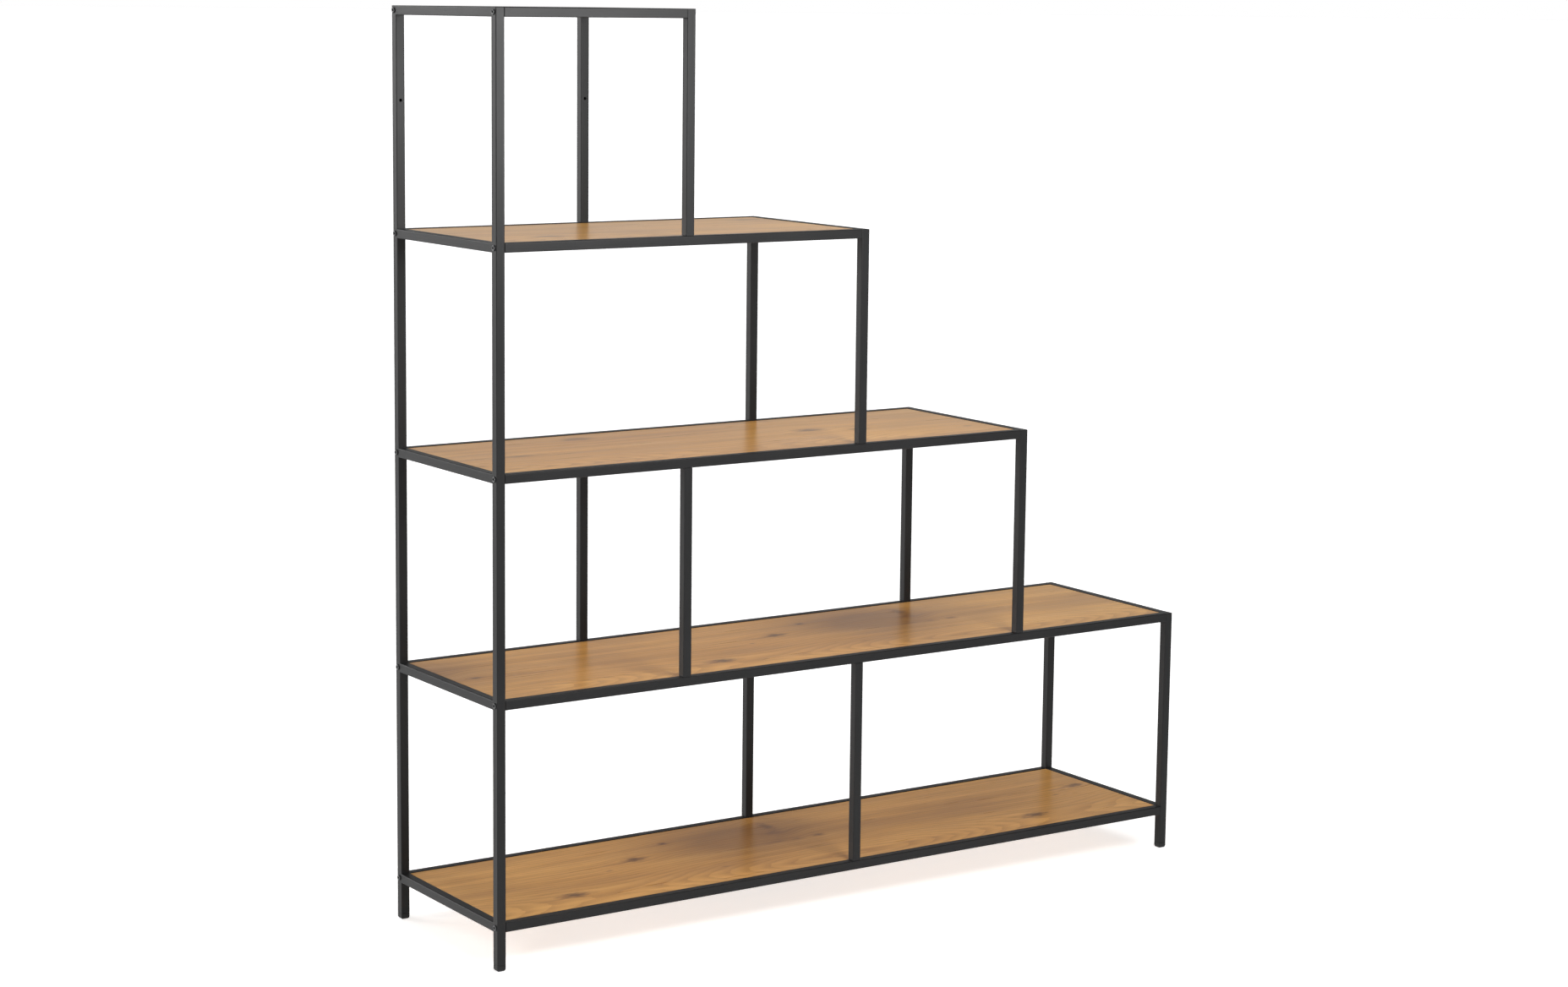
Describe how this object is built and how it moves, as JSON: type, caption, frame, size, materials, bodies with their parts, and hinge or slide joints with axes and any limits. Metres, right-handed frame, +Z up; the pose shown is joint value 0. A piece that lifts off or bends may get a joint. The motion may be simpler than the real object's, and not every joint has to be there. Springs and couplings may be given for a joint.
{
  "type": "staircase bookshelf",
  "caption": "Free-standing stepped bookshelf in black square steel tube with wooden shelf boards, tall on the left and stepping down to the right.",
  "frame": {"origin": "on the floor, in the middle of the footprint", "axes": "+X to the right, towards the low end of the steps; +Y to the back; +Z up"},
  "size_m": [1.3792, 0.345, 1.5],
  "materials": {
    "frame": "matt black powder coat",
    "board": "satin oak laminate, grain along the shelf",
    "foot": "moulded black plastic",
    "bolt": "black bolt, socket head"
  },
  "bodies": {
    "root": {"left_post_front": "frame", "left_post_rear": "frame", "right_post_front": "frame", "right_post_rear": "frame", "step_post_level_3_front": "frame", "step_post_level_3_rear": "frame", "step_post_level_4_front": "frame", "step_post_level_4_rear": "frame", "step_post_level_5_front": "frame", "step_post_level_5_rear": "frame", "divider_level_1_front": "frame", "divider_level_1_rear": "frame", "divider_level_2_front": "frame", "divider_level_2_rear": "frame", "front_rail_level_1": "frame", "rear_rail_level_1": "frame", "front_rail_level_2": "frame", "rear_rail_level_2": "frame", "front_rail_level_3": "frame", "rear_rail_level_3": "frame", "front_rail_level_4": "frame", "rear_rail_level_4": "frame", "front_rail_level_5": "frame", "rear_rail_level_5": "frame", "left_side_rail_level_1": "frame", "right_side_rail_level_1": "frame", "left_side_rail_level_2": "frame", "right_side_rail_level_2": "frame", "left_side_rail_level_3": "frame", "right_side_rail_level_3": "frame", "left_side_rail_level_4": "frame", "right_side_rail_level_4": "frame", "left_side_rail_level_5": "frame", "right_side_rail_level_5": "frame", "shelf_board_level_1": "board", "shelf_board_level_2": "board", "shelf_board_level_3": "board", "shelf_board_level_4": "board", "left_foot_front": "foot", "left_foot_rear": "foot", "right_foot_front": "foot", "right_foot_rear": "foot", "left_bolt_front_level_1": "bolt", "left_bolt_rear_level_1": "bolt", "right_bolt_front_level_1": "bolt", "right_bolt_rear_level_1": "bolt", "left_bolt_front_level_2": "bolt", "left_bolt_rear_level_2": "bolt", "right_bolt_front_level_2": "bolt", "right_bolt_rear_level_2": "bolt", "left_bolt_front_level_3": "bolt", "left_bolt_rear_level_3": "bolt", "right_bolt_front_level_3": "bolt", "right_bolt_rear_level_3": "bolt", "left_bolt_front_level_4": "bolt", "left_bolt_rear_level_4": "bolt", "right_bolt_front_level_4": "bolt", "right_bolt_rear_level_4": "bolt", "left_bolt_front_level_5": "bolt", "left_bolt_rear_level_5": "bolt"}
  },
  "joints": []
}
